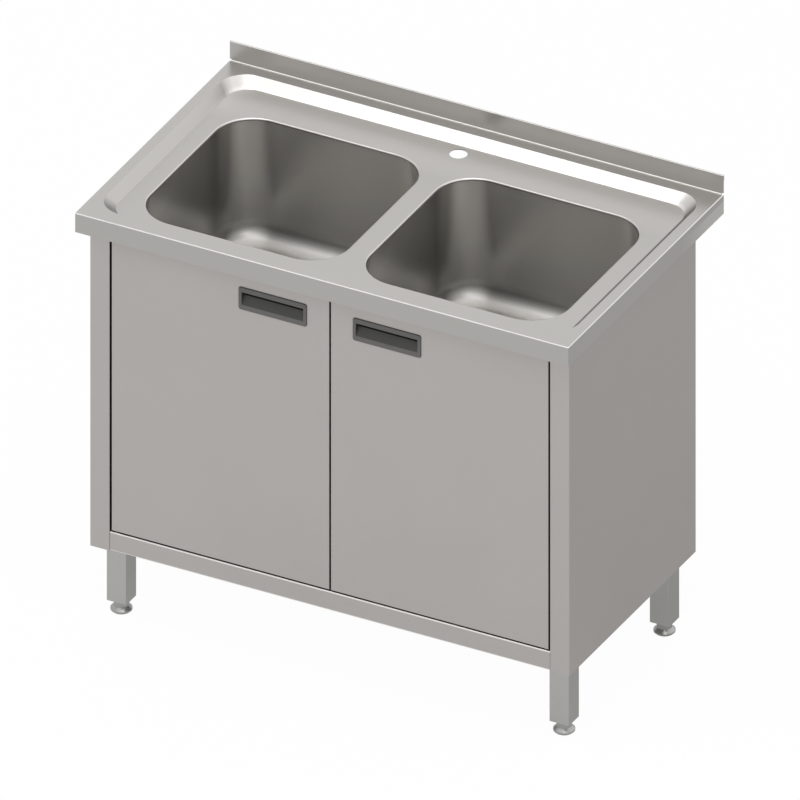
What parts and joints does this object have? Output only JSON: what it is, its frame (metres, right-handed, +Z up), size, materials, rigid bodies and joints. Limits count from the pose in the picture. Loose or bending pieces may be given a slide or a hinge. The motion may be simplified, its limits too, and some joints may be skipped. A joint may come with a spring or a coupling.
{
  "type": "kitchen sink unit",
  "caption": "Stainless steel sink cabinet with a welled worktop and low upstand, square deep bowls, hinged doors with recessed pulls, square legs and screw feet.",
  "frame": {"origin": "on the floor, at the centre of the unit's length and depth", "axes": "+X to the right seen from the doors, +Y to the back, +Z up"},
  "size_m": [1, 0.6, 0.902],
  "materials": {
    "worktop_steel": "satin pressed stainless steel",
    "bowl_steel": "satin deep-drawn stainless steel",
    "panel_steel": "satin stainless sheet, upright grain",
    "door_steel": "satin stainless sheet, upright grain",
    "frame_steel": "satin square tube and folded channel",
    "foot_steel": "turned stainless steel",
    "thread_steel": "zinc-plated steel",
    "plug_plastic": "glass-filled nylon",
    "handle_plastic": "fine-textured dark grey moulding",
    "bush_plastic": "natural acetal",
    "catch_plastic": "white moulding",
    "waste_chrome": "polished",
    "nut_plastic": "white polypropylene",
    "gasket_rubber": "black rubber",
    "rivet_metal": "plain"
  },
  "bodies": {
    "cabinet": {"worktop": "worktop_steel", "left_bowl": "bowl_steel", "right_bowl": "bowl_steel", "left_side_panel": "panel_steel", "right_side_panel": "panel_steel", "back_panel": "panel_steel", "bottom_shelf": "panel_steel", "shelf_stiffener": "panel_steel", "front_top_rail": "frame_steel", "rear_top_rail": "frame_steel", "left_side_top_rail": "frame_steel", "right_side_top_rail": "frame_steel", "divider_rail": "frame_steel", "front_left_leg": "frame_steel", "front_right_leg": "frame_steel", "rear_left_leg": "frame_steel", "rear_right_leg": "frame_steel", "lower_pivot_pins": "thread_steel", "upper_pivot_pins": "thread_steel", "pivot_pin_nuts": "thread_steel", "catch_screws": "thread_steel", "front_left_leg_plug": "plug_plastic", "front_right_leg_plug": "plug_plastic", "rear_left_leg_plug": "plug_plastic", "rear_right_leg_plug": "plug_plastic", "left_magnetic_catch": "catch_plastic", "right_magnetic_catch": "catch_plastic", "left_waste_outlet": "waste_chrome", "right_waste_outlet": "waste_chrome", "left_waste_strainer": "waste_chrome", "right_waste_strainer": "waste_chrome", "left_waste_backnut": "nut_plastic", "right_waste_backnut": "nut_plastic", "left_waste_gasket": "gasket_rubber", "right_waste_gasket": "gasket_rubber", "back_rivets": "rivet_metal"},
    "left_door": {"left_door_outer_skin": "door_steel", "left_door_inner_skin": "door_steel", "left_door_bushes": "bush_plastic", "left_strike_plate": "thread_steel", "left_door_handle": "handle_plastic"},
    "right_door": {"right_door_outer_skin": "door_steel", "right_door_inner_skin": "door_steel", "right_door_bushes": "bush_plastic", "right_strike_plate": "thread_steel", "right_door_handle": "handle_plastic"},
    "front_left_foot": {"front_left_foot_pad": "foot_steel", "front_left_foot_stem": "thread_steel"},
    "front_right_foot": {"front_right_foot_pad": "foot_steel", "front_right_foot_stem": "thread_steel"},
    "rear_left_foot": {"rear_left_foot_pad": "foot_steel", "rear_left_foot_stem": "thread_steel"},
    "rear_right_foot": {"rear_right_foot_pad": "foot_steel", "rear_right_foot_stem": "thread_steel"}
  },
  "joints": [
    {"name": "left_door_hinge", "type": "hinge", "parent": "cabinet", "child": "left_door", "pos_m": [-0.4346, -0.2598, 0.5065], "axis": [0, 0, -1], "range_deg": [0, 105]},
    {"name": "right_door_hinge", "type": "hinge", "parent": "cabinet", "child": "right_door", "pos_m": [0.4346, -0.2598, 0.5065], "axis": [0, 0, 1], "range_deg": [0, 105]},
    {"name": "front_left_foot_screw", "type": "slide", "parent": "cabinet", "child": "front_left_foot", "axis": [0, 0, -1], "range_m": [0, 0.025]},
    {"name": "front_right_foot_screw", "type": "slide", "parent": "cabinet", "child": "front_right_foot", "axis": [0, 0, -1], "range_m": [0, 0.025]},
    {"name": "rear_left_foot_screw", "type": "slide", "parent": "cabinet", "child": "rear_left_foot", "axis": [0, 0, -1], "range_m": [0, 0.025]},
    {"name": "rear_right_foot_screw", "type": "slide", "parent": "cabinet", "child": "rear_right_foot", "axis": [0, 0, -1], "range_m": [0, 0.025]}
  ]
}
